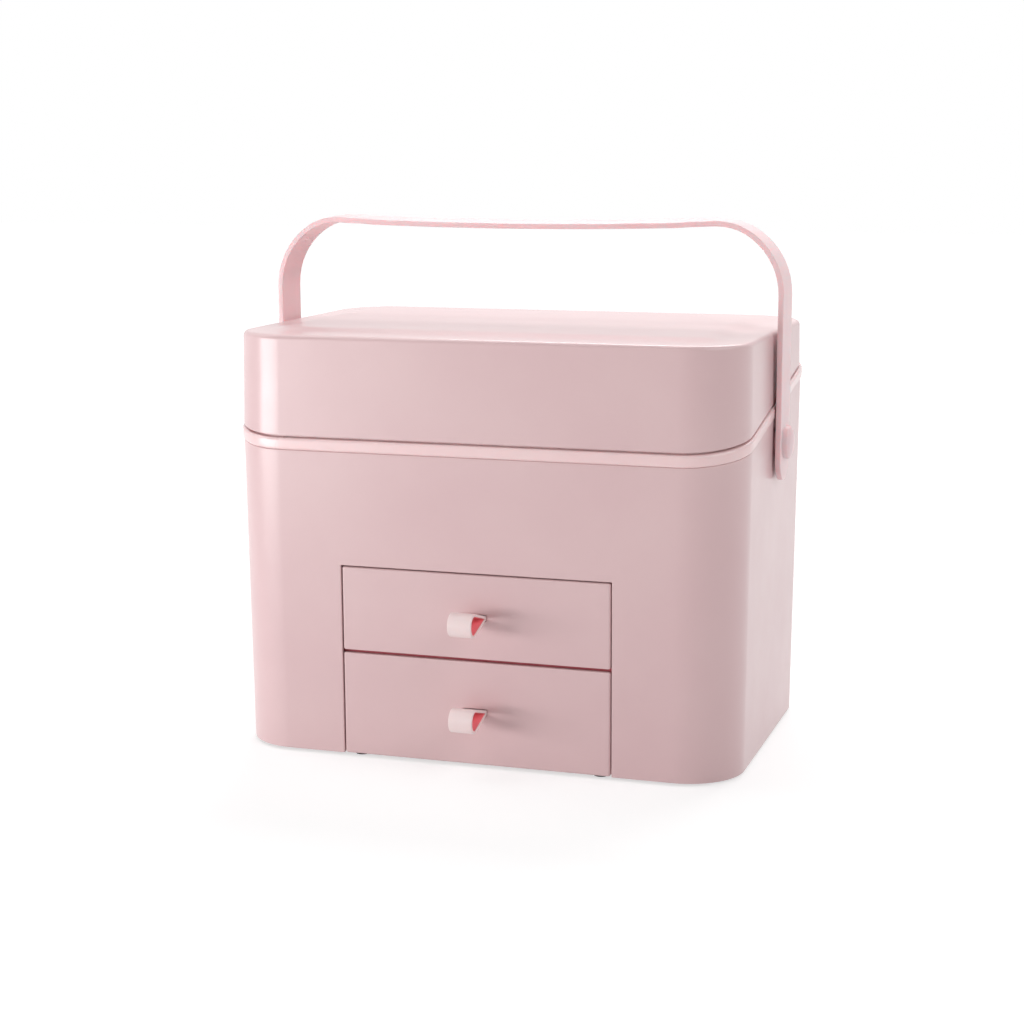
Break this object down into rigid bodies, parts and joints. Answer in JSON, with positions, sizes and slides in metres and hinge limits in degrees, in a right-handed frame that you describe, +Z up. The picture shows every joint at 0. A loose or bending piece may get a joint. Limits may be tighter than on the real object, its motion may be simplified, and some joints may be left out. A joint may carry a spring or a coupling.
{
  "type": "makeup storage case",
  "caption": "Rounded box case for make-up with a flip lid on a slanted seam, two flush drawers with loop pulls and a fold-down strap handle.",
  "frame": {"origin": "on the surface the case stands on, midway between its foremost point (the pulls) and its rearmost (the hinge barrels), on the middle plane", "axes": "+Z up, -Y towards the front with the drawers, +X to the right as seen from the front"},
  "size_m": [0.2978, 0.2224, 0.2859],
  "materials": {
    "shell": "satin moulded dusty pink",
    "lid": "satin moulded dusty pink",
    "band": "smooth satin, a shade warmer than the shell",
    "inner": "fine matte moulded pink",
    "handle": "smooth satin pink",
    "pull": "soft matte pink strip",
    "steel": "plain",
    "rubber": "matte"
  },
  "bodies": {
    "case": {"body_shell": "shell", "rim_band": "band", "base_plate": "inner", "base_screws": "steel", "rubber_feet": "rubber", "drawer_shelf": "inner", "bay_deck": "inner", "bay_wall_left": "inner", "bay_wall_right": "inner", "hinge_pin_left": "steel", "hinge_pin_right": "steel", "pivot_bush_left": "inner", "pivot_bush_right": "inner"},
    "lid": {"lid_shell": "lid"},
    "handle": {"handle_strap": "handle", "pivot_button_left": "handle", "pivot_button_right": "handle", "pivot_retainer_left": "steel", "pivot_retainer_right": "steel"},
    "upper_drawer": {"upper_drawer_front": "shell", "upper_drawer_tray": "inner", "upper_pull_loop": "pull", "upper_pull_clip": "inner"},
    "lower_drawer": {"lower_drawer_front": "shell", "lower_drawer_tray": "inner", "lower_pull_loop": "pull", "lower_pull_clip": "inner"}
  },
  "joints": [
    {"name": "lid_hinge", "type": "hinge", "parent": "case", "child": "lid", "pos_m": [0, 0.10822, 0.20602], "axis": [-1, 0, 0], "range_deg": [0, 15.5]},
    {"name": "handle_fold", "type": "hinge", "parent": "case", "child": "handle", "pos_m": [0, 0.00782, 0.1671], "axis": [1, 0, 0], "range_deg": [-110, 110]},
    {"name": "upper_drawer_slide", "type": "slide", "parent": "case", "child": "upper_drawer", "axis": [0, -1, 0], "range_m": [0, 0.12]},
    {"name": "lower_drawer_slide", "type": "slide", "parent": "case", "child": "lower_drawer", "axis": [0, -1, 0], "range_m": [0, 0.12]}
  ]
}
